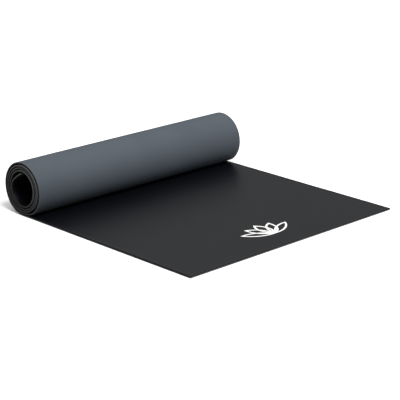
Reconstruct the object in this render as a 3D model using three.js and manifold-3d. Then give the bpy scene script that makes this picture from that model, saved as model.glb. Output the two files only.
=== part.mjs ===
// A two-tone exercise mat, laminated from two foam sheets, half rolled up.
//
// Millimetres, +Z up. Y runs along the roll, and X from the roll to the mat's free end.
// The origin is on the floor, at the middle of the space that the mat takes up.

import * as THREE from 'three';
import { mergeVertices } from 'three/addons/utils/BufferGeometryUtils.js';
import Module from 'manifold-3d';

// The sheet
const MAT_WIDTH = 610;
const FLAT_RUN = 522; // from the line where the roll touches the floor to the free end
const CLEAR_GROUND = [380, 100]; // the plain stretch between the printed flower and the roll
const BASE_THICKNESS = 2.2;
const SCRIM_THICKNESS = 0.3;
const TOP_THICKNESS = 1.5;
const MAT_THICKNESS = BASE_THICKNESS + SCRIM_THICKNESS + TOP_THICKNESS;

// The roll. The sheet comes in under it, goes up its back, and comes over the top and down again.
const ROLL_RADIUS = 60.2;
const ROLL_TURNS = 4.48;
const STEPS_PER_TURN = 50;
const TURN_GAP = 0.3; // between turns that lie on each other
const OUTER_SLACK = 4.0; // over a full turn, how far the outer turn would stand off the next one
const SLACK_END = 0.88; // the turn at which the outer turn starts to settle on the flat run
const LOOSE_ALL_ROUND = 0.35; // per turn, how far the inner turns lie inside a tight winding
const LOOSE_ON_TOP = 0.75; // how much further at the top of the roll
const LOOSE_IN_FRONT = 0.8; // and on the flat run's side
const CORE_LOOSENESS = 1.2; // how much further still the innermost turn lies
const CORE_TURNS = [3.2, 3.9]; // the stretch over which it comes away from the turn outside it
const FLAP_DROP = 4.4; // how far the inner end's flap hangs inside its turn
const FLAP_TURN = 4.39; // where along the roll it hangs furthest
const FLAP_SPREAD = 0.08;

// The printed flower near the free end
const MARK_THICKNESS = 0.3;
const MARK_FROM_EDGE = 59; // the flower's foot to the free end
const MARK_LINE = 4.5; // width of a petal's drawn line
const MARK_POINT = 1.7 * MARK_LINE; // its length where a petal's two sides meet
const PETAL_STEPS = 12; // along each side of a petal
const PETALS = [
  { lean: 0, length: 66, width: 30 },
  { lean: 33, length: 68, width: 27 },
  { lean: -33, length: 68, width: 27 },
  { lean: 62, length: 78, width: 24 },
  { lean: -62, length: 78, width: 24 },
];

const wasm = await Module();
wasm.setup();

// ---------- the mat's path ----------

// How far the outer turn stands outside a tight winding.
function outerSlack(turn) {
  if (turn >= 1) return 0;
  return OUTER_SLACK * turn * (1 - THREE.MathUtils.smoothstep(turn, SLACK_END, 1));
}

// How far the inner turns lie inside a tight winding.
function looseness(turn) {
  const onTop = Math.sin(Math.PI * turn) ** 2;
  const inFront = Math.max(0, -Math.sin(2 * Math.PI * turn)) ** 2;
  const perTurn = LOOSE_ALL_ROUND + LOOSE_ON_TOP * onTop + LOOSE_IN_FRONT * inFront;
  const core = CORE_LOOSENESS * THREE.MathUtils.smoothstep(turn, ...CORE_TURNS);
  return Math.max(0, turn - 1) * perTurn + core;
}

// Distance from the roll's axis to the sheet's outer face, after so many turns from the floor.
function outerFaceRadius(turn) {
  const wound = (MAT_THICKNESS + TURN_GAP) * turn;
  const flap = FLAP_DROP * Math.exp(-(((turn - FLAP_TURN) / FLAP_SPREAD) ** 2));
  return ROLL_RADIUS - wound + outerSlack(turn) - looseness(turn) - flap;
}

// A point on the sheet's outer face, in the plane across the roll.
function outerFacePoint(turn) {
  const angle = 2 * Math.PI * turn;
  const radius = outerFaceRadius(turn);
  return new THREE.Vector2(-radius * Math.sin(angle), ROLL_RADIUS - radius * Math.cos(angle));
}

// The unit vector from the outer face into the sheet, straight up at the floor where the roll begins.
function inwardNormal(turn) {
  if (turn === 0) return new THREE.Vector2(0, 1);
  const step = 0.001;
  const along = outerFacePoint(turn + step).sub(outerFacePoint(turn - step)).normalize();
  return new THREE.Vector2(along.y, -along.x);
}

// The face at a given depth in the sheet, from the free end to the roll's inner end.
function facePoints(depth) {
  const points = [FLAT_RUN, ...CLEAR_GROUND].map((x) => new THREE.Vector2(x, depth));
  const steps = Math.round(ROLL_TURNS * STEPS_PER_TURN);
  for (let i = 0; i <= steps; i += 1) {
    const turn = i / STEPS_PER_TURN;
    points.push(outerFacePoint(turn).addScaledVector(inwardNormal(turn), depth));
  }
  return points;
}

// ---------- geometry ----------

// One foam sheet or the scrim: the section between two depths, drawn out along the roll.
function layerGeometry(depth, thickness) {
  const outer = facePoints(depth);
  const inner = facePoints(depth + thickness);
  const section = new THREE.Shape([...outer, ...inner.reverse()]);
  const geometry = new THREE.ExtrudeGeometry(section, { depth: MAT_WIDTH, bevelEnabled: false });
  geometry.rotateX(Math.PI / 2);
  geometry.translate(0, MAT_WIDTH / 2, 0);
  return geometry;
}

// A pointed petal's outline, with its foot at the origin and its tip on +Y.
function petalOutline(length, width, path) {
  path.moveTo(0, 0);
  path.bezierCurveTo(width * 0.55, length * 0.25, width * 0.75, length * 0.65, 0, length);
  path.bezierCurveTo(-width * 0.75, length * 0.65, -width * 0.55, length * 0.25, 0, 0);
  return path;
}

// A petal drawn as one line of even width.
function petalGeometry({ lean, length, width }) {
  const petal = petalOutline(length, width, new THREE.Shape());
  const opening = petalOutline(length - 2 * MARK_POINT, width - 2 * MARK_LINE, new THREE.Path());
  const raised = opening.getPoints(PETAL_STEPS).map((p) => new THREE.Vector2(p.x, p.y + MARK_POINT));
  petal.holes.push(new THREE.Path(raised));
  const options = { depth: MARK_THICKNESS, bevelEnabled: false, curveSegments: PETAL_STEPS };
  const geometry = new THREE.ExtrudeGeometry(petal, options);
  geometry.rotateZ(THREE.MathUtils.degToRad(lean));
  return geometry;
}

function toSolid(geometry) {
  geometry.deleteAttribute('normal');
  geometry.deleteAttribute('uv');
  const merged = mergeVertices(geometry, 1e-4);
  const mesh = new wasm.Mesh({
    numProp: 3,
    vertProperties: merged.attributes.position.array,
    triVerts: merged.index.array,
  });
  return new wasm.Manifold(mesh);
}

function fromSolid(solid) {
  const mesh = solid.getMesh();
  const geometry = new THREE.BufferGeometry();
  geometry.setAttribute('position', new THREE.BufferAttribute(mesh.vertProperties, 3));
  geometry.setIndex(new THREE.BufferAttribute(mesh.triVerts, 1));
  geometry.computeVertexNormals();
  return geometry;
}

// All petals joined at the foot, tips towards the roll.
function markGeometry() {
  const petals = PETALS.map((petal) => toSolid(petalGeometry(petal)));
  const flower = petals.reduce((joined, petal) => joined.add(petal));
  const geometry = fromSolid(flower);
  geometry.rotateZ(Math.PI / 2);
  return geometry;
}

// ---------- materials ----------

function baseFoam() {
  return new THREE.MeshStandardMaterial({ color: 0x5b646d, roughness: 0.85, metalness: 0 });
}

function scrimYarn() {
  return new THREE.MeshStandardMaterial({ color: 0x8d9196, roughness: 0.9, metalness: 0 });
}

function topFoam() {
  return new THREE.MeshStandardMaterial({ color: 0x1e1f21, roughness: 0.7, metalness: 0 });
}

function whiteInk() {
  return new THREE.MeshStandardMaterial({ color: 0xf2f2ee, roughness: 0.6, metalness: 0 });
}

// ---------- the mat ----------

function piece(name, geometry, material) {
  const mesh = new THREE.Mesh(geometry, material);
  mesh.name = name;
  return mesh;
}

function printedMark() {
  const mark = piece('printed_mark', markGeometry(), whiteInk());
  mark.position.set(FLAT_RUN - MARK_FROM_EDGE, 0, MAT_THICKNESS);
  return mark;
}

// The base is the roll's outside and lies on the floor. The scrim and the top foam are bonded to it,
// so the sheets share their faces point for point.
function baseLayer() {
  return piece('base_layer', layerGeometry(0, BASE_THICKNESS), baseFoam());
}

function reinforcementScrim() {
  return piece('reinforcement_scrim', layerGeometry(BASE_THICKNESS, SCRIM_THICKNESS), scrimYarn());
}

function topLayer() {
  const depth = BASE_THICKNESS + SCRIM_THICKNESS;
  return piece('top_layer', layerGeometry(depth, TOP_THICKNESS), topFoam());
}

// Everything above is measured from the line where the roll touches the floor.
const mat = new THREE.Group();
mat.add(baseLayer(), reinforcementScrim(), topLayer(), printedMark());
const rollBack = Math.min(...facePoints(0).map((point) => point.x));
mat.position.x = -(FLAT_RUN + rollBack) / 2;

const group = new THREE.Group();
group.add(mat);

export default group;
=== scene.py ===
"""A two-tone exercise mat, half rolled up: its foam sheets, print, floor, light and camera."""

import math

import bmesh
import bpy
from mathutils import Euler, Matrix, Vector, noise


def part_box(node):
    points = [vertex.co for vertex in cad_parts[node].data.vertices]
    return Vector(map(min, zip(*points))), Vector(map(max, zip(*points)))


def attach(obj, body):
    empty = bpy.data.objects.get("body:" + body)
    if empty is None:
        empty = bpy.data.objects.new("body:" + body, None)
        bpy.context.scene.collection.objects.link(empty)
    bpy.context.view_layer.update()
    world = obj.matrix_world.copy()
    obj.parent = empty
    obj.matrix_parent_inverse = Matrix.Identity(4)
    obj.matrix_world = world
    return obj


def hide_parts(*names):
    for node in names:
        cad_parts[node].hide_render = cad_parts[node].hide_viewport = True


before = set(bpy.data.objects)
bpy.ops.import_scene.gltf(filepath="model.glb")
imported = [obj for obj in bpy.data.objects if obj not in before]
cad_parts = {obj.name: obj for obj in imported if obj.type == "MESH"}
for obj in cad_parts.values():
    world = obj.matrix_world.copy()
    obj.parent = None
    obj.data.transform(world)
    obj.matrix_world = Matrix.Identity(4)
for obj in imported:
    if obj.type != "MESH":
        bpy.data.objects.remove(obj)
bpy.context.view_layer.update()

# ---------- sizes, in metres, as the frame has them ----------

BASE_LOW, BASE_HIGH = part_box("base_layer")
MARK_LOW, MARK_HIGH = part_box("printed_mark")

WIDTH = BASE_HIGH.y - BASE_LOW.y
FREE_END = BASE_HIGH.x
FLAT_RUN = 0.522
ROLL_LINE = FREE_END - FLAT_RUN  # where the roll touches the floor
MAT_THICKNESS = MARK_LOW.z
BASE_THICKNESS = 0.0022
SCRIM_THICKNESS = 0.0003
SCRIM_DEPTH = BASE_THICKNESS
TOP_DEPTH = BASE_THICKNESS + SCRIM_THICKNESS

# The roll's path, as the solids have it. Turns are counted from where the roll touches the floor.
ROLL_RADIUS = 0.0602
ROLL_TURNS = 4.48
TURN_GAP = 0.0003
OUTER_SLACK = 0.004
SLACK_END = 0.88  # the turn at which the outer turn starts to settle on the flat run
LOOSE_ALL_ROUND = 0.00035
LOOSE_ON_TOP = 0.00075
LOOSE_IN_FRONT = 0.0008
CORE_LOOSENESS = 0.0012
CORE_TURNS = (3.2, 3.9)  # over which the innermost turn comes away from the next
FLAP_DROP = 0.0044
FLAP_TURN = 4.39
FLAP_SPREAD = 0.08

# How finely the sheets are made
STEPS_PER_TURN = 100
FLAT_STEPS = 72
WIDTH_STEPS = 56
EDGE_RADIUS = 0.0007  # of the foam's cut corners
EDGE_LINE = 0.3 * EDGE_RADIUS  # how far in the extra line of a rounded corner lies
EDGE_STRIPS = 2  # strips of faces that a rounded corner takes up
INNER_RADIUS = 0.035  # of the roll's innermost turn, about

# A sheet's material slots
SKIN = 0
CUT_EDGE = 1

# How uneven the foam is
FLAT_SWELL = 0.00045
ROLL_SWELL = 0.0004
FILM = 0.00012  # the ink's thickness
END_SHIFT = 0.0006  # how far a turn's end sticks out


# ---------- the mat's path ----------

def smoothstep(value, start, end):
    """From 0 at start to 1 at end, level at both."""
    share = min(max((value - start) / (end - start), 0), 1)
    return share * share * (3 - 2 * share)


def outer_slack(turn):
    """How far the outer turn stands outside a tight winding."""
    if turn >= 1:
        return 0
    return OUTER_SLACK * turn * (1 - smoothstep(turn, SLACK_END, 1))


def looseness(turn):
    """How far the inner turns lie inside a tight winding."""
    on_top = math.sin(math.pi * turn) ** 2
    in_front = max(0, -math.sin(2 * math.pi * turn)) ** 2
    per_turn = LOOSE_ALL_ROUND + LOOSE_ON_TOP * on_top + LOOSE_IN_FRONT * in_front
    return max(0, turn - 1) * per_turn + CORE_LOOSENESS * smoothstep(turn, *CORE_TURNS)


def outer_face_radius(turn):
    """Distance from the roll's axis to the sheet's outer face, after so many turns from the floor."""
    wound = (MAT_THICKNESS + TURN_GAP) * turn
    flap = FLAP_DROP * math.exp(-(((turn - FLAP_TURN) / FLAP_SPREAD) ** 2))
    return ROLL_RADIUS - wound + outer_slack(turn) - looseness(turn) - flap


def outer_face_point(turn):
    """A point of the rolled part's outer face. The roll's axis is one roll radius above the floor."""
    angle = 2 * math.pi * turn
    radius = outer_face_radius(turn)
    return Vector((ROLL_LINE - radius * math.sin(angle), 0, ROLL_RADIUS - radius * math.cos(angle)))


def station(turn):
    """A point of the outer face and the unit vector from it into the sheet. Turns below 0 lie on the
    flat run, and -1 is the free end."""
    if turn <= 0:
        return Vector((ROLL_LINE - turn * FLAT_RUN, 0, 0)), Vector((0, 0, 1))
    step = 0.001
    along = (outer_face_point(turn + step) - outer_face_point(turn - step)).normalized()
    return outer_face_point(turn), Vector((along.z, 0, -along.x))


def stations():
    """Along the mat from the free end to the inner end, with two close lines at each cut end."""
    near_free_end = [-1, -1 + EDGE_LINE / FLAT_RUN, -1 + EDGE_RADIUS / FLAT_RUN]
    flat = [-1 + i / FLAT_STEPS for i in range(1, FLAT_STEPS)]
    rolled = [i / STEPS_PER_TURN for i in range(round(ROLL_TURNS * STEPS_PER_TURN))]
    girth = 2 * math.pi * outer_face_radius(ROLL_TURNS)
    near_inner_end = [ROLL_TURNS - EDGE_RADIUS / girth, ROLL_TURNS - EDGE_LINE / girth, ROLL_TURNS]
    return near_free_end + flat + rolled + near_inner_end


def lines_across():
    """Across the mat, with two close lines at each side."""
    half = WIDTH / 2
    side = [half, half - EDGE_LINE, half - EDGE_RADIUS]
    inner = [half - WIDTH * i / WIDTH_STEPS for i in range(1, WIDTH_STEPS)]
    return side + inner + [-y for y in reversed(side)]


def unevenness(turn, y):
    """How far the foam stands proud of its plain path: slow swells on the flat run, and on the loose
    part of the outer turn. It is 0 wherever turns lie on each other."""
    if turn <= 0:
        x = -turn * FLAT_RUN
        room = smoothstep(x, 0, 0.06)
        height = FLAT_SWELL
    else:
        x = turn * 2 * math.pi * ROLL_RADIUS + 3  # 3 takes it to another part of the noise
        room = smoothstep(turn, 0.2, 0.45) * (1 - smoothstep(turn, 0.7, 0.9))
        height = ROLL_SWELL
    swell = noise.noise(Vector((x * 7, y * 5, 1.7))) + 0.4 * noise.noise(Vector((x * 19, y * 15, 6.1)))
    return room * height * (0.6 + swell)


def lift(turn, y, depth):
    """The unevenness as a shift into the sheet. The flat run's underside stays on the floor."""
    if turn > 0:
        return -unevenness(turn, y)
    return unevenness(turn, y) if depth > 0 else 0


def turn_shift(turn):
    """How far a turn's ends stick out of the roll, because no one winds a mat quite true."""
    if turn <= 0:
        return 0
    return END_SHIFT * smoothstep(turn, 0.3, 1.2) * math.sin(2.4 * turn + 0.6)


# ---------- sheets ----------

def corner_drop(turn, y, ends):
    """How far the face is cut back near the sheet's sides and ends, to round its cut corners."""
    to_side = WIDTH / 2 - abs(y)
    to_end = min(abs(turn - ends[0]) * FLAT_RUN, abs(ends[1] - turn) * 2 * math.pi * INNER_RADIUS)
    inset = max(0, 1 - min(to_side, to_end) / EDGE_RADIUS)
    return EDGE_RADIUS * (1 - math.sqrt(max(0, 1 - inset * inset)))


def face_grid(bm, depth, rounding):
    """One face of a sheet as rows of vertices. rounding is 1 for a face whose corners are cut back into
    the sheet, -1 for one where that is the other way, and 0 for square corners."""
    rows = []
    turns = stations()
    for turn in turns:
        foot, inward = station(turn)
        row = []
        for y in lines_across():
            drop = rounding * corner_drop(turn, y, (turns[0], turns[-1]))
            place = foot + inward * (depth + drop + lift(turn, y, depth))
            row.append(bm.verts.new(place + Vector((0, y + turn_shift(turn), 0))))
        rows.append(row)
    return rows


def fill_between(bm, one, other, slot=SKIN):
    """Quads between two lines of vertices."""
    quads = []
    for i in range(len(one) - 1):
        quad = bm.faces.new((one[i], one[i + 1], other[i + 1], other[i]))
        quad.material_index = slot
        quads.append(quad)
    return quads


def fill_face(bm, rows):
    """A sheet's face. At each side its outermost strips curve over, and are cut foam."""
    for one, other in zip(rows, rows[1:]):
        quads = fill_between(bm, one, other)
        for quad in quads[:EDGE_STRIPS] + quads[-EDGE_STRIPS:]:
            quad.material_index = CUT_EDGE


def border(rows):
    """The vertices round a grid's edge, in order, with the first one again at the end."""
    right = [row[-1] for row in rows]
    left = [row[0] for row in rows]
    return rows[0] + right[1:] + rows[-1][-2::-1] + left[-2::-1]


def mat_sheet(name, depth, thickness, rounded):
    """One closed sheet of the laminate, between two depths below the outer face."""
    bm = bmesh.new()
    outer = face_grid(bm, depth, 1 if rounded == "outer" else 0)
    inner = face_grid(bm, depth + thickness, -1 if rounded == "inner" else 0)
    fill_face(bm, outer)
    fill_face(bm, inner)
    fill_between(bm, border(outer), border(inner), CUT_EDGE)
    bmesh.ops.recalc_face_normals(bm, faces=bm.faces)
    mesh = bpy.data.meshes.new(name)
    bm.to_mesh(mesh)
    bm.free()
    mesh.shade_smooth()
    mesh.set_sharp_from_angle(angle=math.radians(50))
    piece = bpy.data.objects.new(name, mesh)
    bpy.context.collection.objects.link(piece)
    return piece


def ink_print():
    """The flower as a thin film on the uneven foam."""
    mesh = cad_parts["printed_mark"].data.copy()
    mesh.materials.clear()
    for vertex in mesh.vertices:
        turn = (ROLL_LINE - vertex.co.x) / FLAT_RUN
        on_top = vertex.co.z > (MARK_LOW.z + MARK_HIGH.z) / 2
        vertex.co.z = MAT_THICKNESS + unevenness(turn, vertex.co.y) + (FILM if on_top else 0)
    piece = bpy.data.objects.new("flower_print", mesh)
    bpy.context.collection.objects.link(piece)
    return piece


# ---------- materials ----------

def new_material(name):
    """A node material, its tree and its shader."""
    material = bpy.data.materials.new(name)
    material.use_nodes = True
    nodes = material.node_tree.nodes
    shader = next(node for node in nodes if node.type == "BSDF_PRINCIPLED")
    return material, material.node_tree, shader


def add_node(tree, kind, **inputs):
    """A node with the values of its input sockets."""
    node = tree.nodes.new(kind)
    for name, value in inputs.items():
        node.inputs[name.replace("_", " ")].default_value = value
    return node


def object_noise(tree, scale, detail):
    """Noise fixed to the object, at so many cells to the metre."""
    coordinates = tree.nodes.new("ShaderNodeTexCoord")
    field = add_node(tree, "ShaderNodeTexNoise", Scale=scale, Detail=detail)
    tree.links.new(coordinates.outputs["Object"], field.inputs["Vector"])
    return field.outputs["Fac"]


def ramp(tree, factor, low, high, start=0.3, end=0.7):
    """A colour that goes from low to high as the factor goes from start to end."""
    node = tree.nodes.new("ShaderNodeValToRGB")
    node.color_ramp.elements[0].position = start
    node.color_ramp.elements[1].position = end
    node.color_ramp.elements[0].color = (*low, 1)
    node.color_ramp.elements[1].color = (*high, 1)
    tree.links.new(factor, node.inputs["Fac"])
    return node.outputs["Color"]


def bump(tree, height, distance, strength, under=None):
    """A normal that follows the height, on top of the one under it."""
    node = add_node(tree, "ShaderNodeBump", Strength=strength, Distance=distance)
    tree.links.new(height, node.inputs["Height"])
    if under is not None:
        tree.links.new(under, node.inputs["Normal"])
    return node.outputs["Normal"]


def foam(name, dark, light, roughness, specular):
    """Closed-cell foam with a fine pebbled skin."""
    material, tree, shader = new_material(name)
    colour = ramp(tree, object_noise(tree, 9, 4), dark, light)
    pebbles = bump(tree, object_noise(tree, 900, 2), 0.00012, 0.5)
    cells = bump(tree, object_noise(tree, 260, 3), 0.0003, 0.25, under=pebbles)
    tree.links.new(colour, shader.inputs["Base Color"])
    tree.links.new(cells, shader.inputs["Normal"])
    shader.inputs["Roughness"].default_value = roughness
    shader.inputs["Specular IOR Level"].default_value = specular
    shader.inputs["Specular Tint"].default_value = (0.92, 0.97, 1, 1)
    return material


def blue_grey_foam():
    return foam("blue_grey_foam", (0.057, 0.068, 0.081), (0.064, 0.075, 0.089), 0.75, 0.25)


def black_foam():
    return foam("black_foam", (0.0012, 0.0014, 0.0024), (0.0017, 0.0019, 0.003), 0.38, 0.27)


def cut_foam(name, dark, light):
    """The knife-cut edge of the foam, where its cells lie open."""
    material, tree, shader = new_material(name)
    colour = ramp(tree, object_noise(tree, 1100, 2), dark, light)
    pits = bump(tree, object_noise(tree, 1500, 1), 0.0003, 0.5)
    tree.links.new(colour, shader.inputs["Base Color"])
    tree.links.new(pits, shader.inputs["Normal"])
    shader.inputs["Roughness"].default_value = 0.95
    shader.inputs["Specular IOR Level"].default_value = 0.15
    return material


def blue_grey_cut():
    return cut_foam("blue_grey_cut", (0.092, 0.092, 0.091), (0.126, 0.126, 0.125))


def black_cut():
    return cut_foam("black_cut", (0.001, 0.001, 0.001), (0.003, 0.003, 0.003))


def scrim_yarn():
    """Dull dark polyester, seen only at the cut edges."""
    material, tree, shader = new_material("scrim_yarn")
    colour = ramp(tree, object_noise(tree, 700, 1), (0.008, 0.008, 0.009), (0.03, 0.031, 0.033))
    tree.links.new(colour, shader.inputs["Base Color"])
    shader.inputs["Roughness"].default_value = 0.9
    return material


def white_ink():
    material, tree, shader = new_material("white_ink")
    colour = ramp(tree, object_noise(tree, 500, 2), (0.74, 0.74, 0.72), (0.86, 0.86, 0.84))
    tree.links.new(colour, shader.inputs["Base Color"])
    shader.inputs["Roughness"].default_value = 0.6
    return material


def floor_paper():
    material, tree, shader = new_material("floor_paper")
    colour = ramp(tree, object_noise(tree, 3, 2), (0.93, 0.93, 0.93), (0.95, 0.95, 0.95))
    tree.links.new(colour, shader.inputs["Base Color"])
    shader.inputs["Roughness"].default_value = 0.9
    shader.inputs["Specular IOR Level"].default_value = 0.1
    return material


# ---------- the mat ----------

def build_mat():
    base = mat_sheet("base_foam_sheet", 0, BASE_THICKNESS, "outer")
    scrim = mat_sheet("scrim_sheet", SCRIM_DEPTH, SCRIM_THICKNESS, "none")
    top = mat_sheet("top_foam_sheet", TOP_DEPTH, MAT_THICKNESS - TOP_DEPTH, "inner")
    flower = ink_print()
    yarn = scrim_yarn()
    rows = (
        (base, "base_layer", "base_foam", (blue_grey_foam(), blue_grey_cut())),
        (scrim, "reinforcement_scrim", "scrim_yarn", (yarn, yarn)),  # the same yarn at its edge
        (top, "top_layer", "top_foam", (black_foam(), black_cut())),
        (flower, "printed_mark", "white_ink", (white_ink(),)),
    )
    for piece, node, slot, materials in rows:
        for material in materials:
            piece.data.materials.append(material)
        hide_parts(node)
        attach(piece, "root")


# ---------- floor, light and camera ----------

def build_floor():
    bm = bmesh.new()
    bmesh.ops.create_grid(bm, x_segments=8, y_segments=8, size=14)
    mesh = bpy.data.meshes.new("floor")
    bm.to_mesh(mesh)
    bm.free()
    floor = bpy.data.objects.new("floor", mesh)
    floor.location.z = -0.0003  # just clear of the foam
    mesh.materials.append(floor_paper())
    floor.visible_diffuse = False  # so that it throws no light up under the roll
    bpy.context.collection.objects.link(floor)


def soft_sun(name, towards, spread, strength):
    """Even light from one side of the studio, as a very large softbox gives it."""
    light = bpy.data.lights.new(name, "SUN")
    light.angle = math.radians(spread)
    light.energy = strength
    lamp = bpy.data.objects.new(name, light)
    lamp.rotation_euler = Vector(towards).to_track_quat("Z", "Y").to_euler()
    bpy.context.collection.objects.link(lamp)


def build_light():
    """A white sky that darkens towards the horizon, and one key light."""
    world = bpy.data.worlds.new("studio")
    world.use_nodes = True
    tree = world.node_tree
    coordinates = tree.nodes.new("ShaderNodeTexCoord")
    parts = tree.nodes.new("ShaderNodeSeparateXYZ")
    tree.links.new(coordinates.outputs["Generated"], parts.inputs["Vector"])
    sky = ramp(tree, parts.outputs["Z"], (0.03, 0.03, 0.03), (1, 1, 1), 0.12, 0.75)
    tree.links.new(sky, tree.nodes["Background"].inputs["Color"])
    tree.nodes["Background"].inputs["Strength"].default_value = 1
    bpy.context.scene.world = world
    soft_sun("key", (0.66, -0.12, 0.87), 28, 3.2)


def build_camera():
    """A long lens, looking down on the mat from beyond its free end's near corner."""
    data = bpy.data.cameras.new("camera")
    data.sensor_width = 36
    data.lens = 135.1
    camera = bpy.data.objects.new("camera", data)
    camera.location = (FREE_END + 1.9473, -2.1849, 1.0412)
    camera.rotation_euler = Euler([math.radians(a) for a in (71.957, -0.241, 45.709)], "XYZ")
    bpy.context.collection.objects.link(camera)
    bpy.context.scene.camera = camera
    bpy.context.scene.view_settings.view_transform = "Standard"


build_camera()
build_light()
build_floor()
build_mat()
